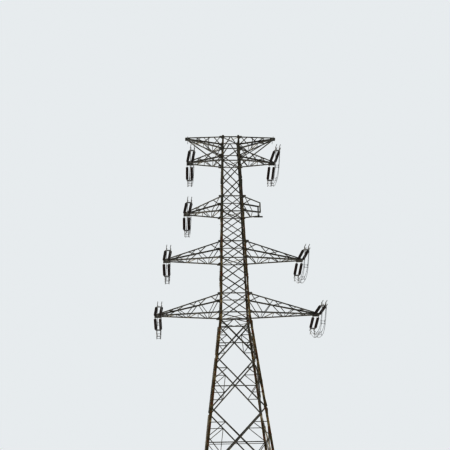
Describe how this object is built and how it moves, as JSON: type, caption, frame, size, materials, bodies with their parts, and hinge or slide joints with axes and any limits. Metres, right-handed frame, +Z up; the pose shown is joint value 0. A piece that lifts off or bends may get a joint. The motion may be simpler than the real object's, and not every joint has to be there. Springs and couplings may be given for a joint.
{
  "type": "lattice transmission tower",
  "caption": "Steel lattice transmission tower: splayed braced legs, square mast, tapered cross-arms with paired insulator strings pulling both ways and hanging jumper loops.",
  "frame": {"origin": "on the ground in the middle between the four concrete piers", "axes": "+X along the cross-arms towards the side with the blunt short arm, +Y along the line towards the steeper strings, +Z up"},
  "size_m": [17.4188, 7.8326, 37],
  "materials": {
    "galvanised_steel": "matte",
    "leg_steel": "matte",
    "concrete": "matte",
    "insulator": "gloss",
    "fitting_steel": "satin",
    "wire_aluminium": "matte"
  },
  "bodies": {
    "root": {"foundation_piers": "concrete", "leg_near_left": "leg_steel", "leg_near_right": "leg_steel", "leg_far_left": "leg_steel", "leg_far_right": "leg_steel", "lower_bracing_near": "galvanised_steel", "lower_bracing_far": "galvanised_steel", "lower_bracing_left": "galvanised_steel", "lower_bracing_right": "galvanised_steel", "middle_bracing_near": "galvanised_steel", "middle_bracing_far": "galvanised_steel", "middle_bracing_left": "galvanised_steel", "middle_bracing_right": "galvanised_steel", "upper_bracing_near": "galvanised_steel", "upper_bracing_far": "galvanised_steel", "upper_bracing_left": "galvanised_steel", "upper_bracing_right": "galvanised_steel", "mast_bracing_near": "galvanised_steel", "mast_bracing_far": "galvanised_steel", "mast_bracing_left": "galvanised_steel", "mast_bracing_right": "galvanised_steel", "plan_bracing": "galvanised_steel", "peak_beam_left": "galvanised_steel", "peak_beam_right": "galvanised_steel", "arm_1_left": "galvanised_steel", "arm_1_right": "galvanised_steel", "arm_2_left": "galvanised_steel", "arm_2_right": "galvanised_steel", "arm_3_left": "galvanised_steel", "arm_3_right": "galvanised_steel", "arm_4_left": "galvanised_steel", "arm_4_right": "galvanised_steel", "insulators_1": "insulator", "insulators_2": "insulator", "insulators_3": "insulator", "insulators_4": "insulator", "fittings_1": "fitting_steel", "fittings_2": "fitting_steel", "fittings_3": "fitting_steel", "fittings_4": "fitting_steel", "jumpers_1": "wire_aluminium", "jumpers_2": "wire_aluminium", "jumpers_3": "wire_aluminium", "jumpers_4": "wire_aluminium", "earth_wire_clamps": "fitting_steel"}
  },
  "joints": []
}
